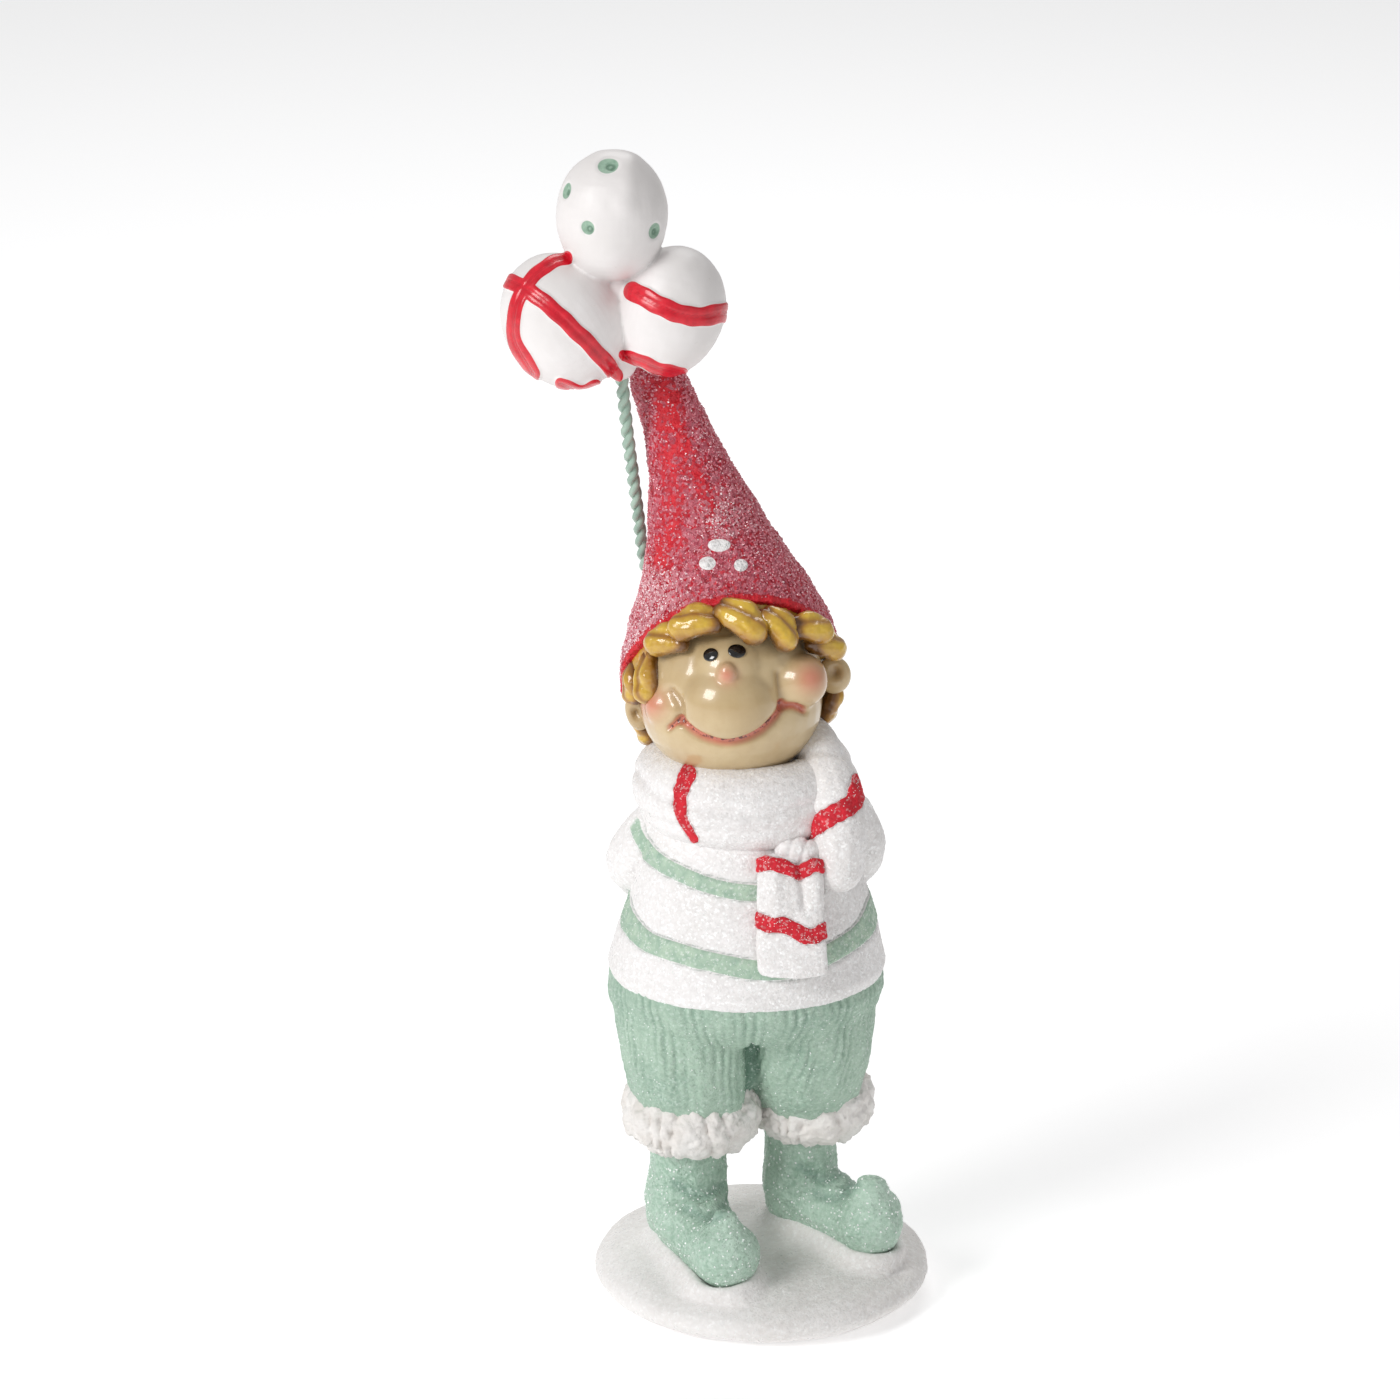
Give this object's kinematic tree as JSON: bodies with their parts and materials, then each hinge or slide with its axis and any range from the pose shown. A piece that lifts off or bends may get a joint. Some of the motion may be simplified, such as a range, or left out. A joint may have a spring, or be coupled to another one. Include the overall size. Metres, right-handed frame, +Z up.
{
  "type": "tomte gnome figurine",
  "caption": "Painted resin winter gnome on a round snow base, with a pointed frosted hat, scarf and fur-cuffed trousers, holding a balloon bunch on a twisted wire.",
  "frame": {"origin": "centre of the snow base's flat underside, on the surface that the figurine stands on", "axes": "+Z up; the gnome faces -Y, so its own left side is +X"},
  "size_m": [0.0609, 0.0488, 0.17],
  "materials": {
    "snow": "matte",
    "mint_boots": "matte",
    "mint_knit": "matte",
    "fur_trim": "matte",
    "white_knit": "matte",
    "scarf_knit": "matte",
    "skin": "gloss",
    "hair": "gloss",
    "hat_frost": "matte",
    "wire": "satin",
    "balloon": "satin"
  },
  "bodies": {
    "figure": {"snow_base": "snow", "boot_left": "mint_boots", "boot_right": "mint_boots", "trousers": "mint_knit", "cuff_left": "fur_trim", "cuff_right": "fur_trim", "jumper": "white_knit", "sleeve_left": "white_knit", "sleeve_right": "white_knit", "scarf_wrap": "scarf_knit", "scarf_fold": "scarf_knit", "scarf_knot": "scarf_knit", "scarf_tail": "scarf_knit", "head": "skin", "ear_left": "skin", "ear_right": "skin", "hand_left": "skin", "hand_right": "skin", "hair_curl_01": "hair", "hair_curl_02": "hair", "hair_curl_03": "hair", "hair_curl_04": "hair", "hair_curl_05": "hair", "hair_curl_06": "hair", "hair_curl_07": "hair", "hair_curl_08": "hair", "hair_curl_09": "hair", "hair_curl_10": "hair", "hair_curl_11": "hair", "hair_curl_12": "hair", "hair_curl_13": "hair", "hair_curl_14": "hair", "hair_curl_15": "hair", "hat": "hat_frost"},
    "balloon_stem": {"wire_strand_a": "wire", "wire_strand_b": "wire", "balloon_top": "balloon", "balloon_left": "balloon", "balloon_right": "balloon", "balloon_neck": "balloon"}
  },
  "joints": [
    {"name": "stem_sway", "type": "hinge", "parent": "figure", "child": "balloon_stem", "pos_m": [-0.0052, 0.0192, 0.0608], "axis": [0, 1, 0], "range_deg": [-4, 0.5], "stiffness_Nm_per_rad": 0.34, "springref_deg": 0.4}
  ]
}
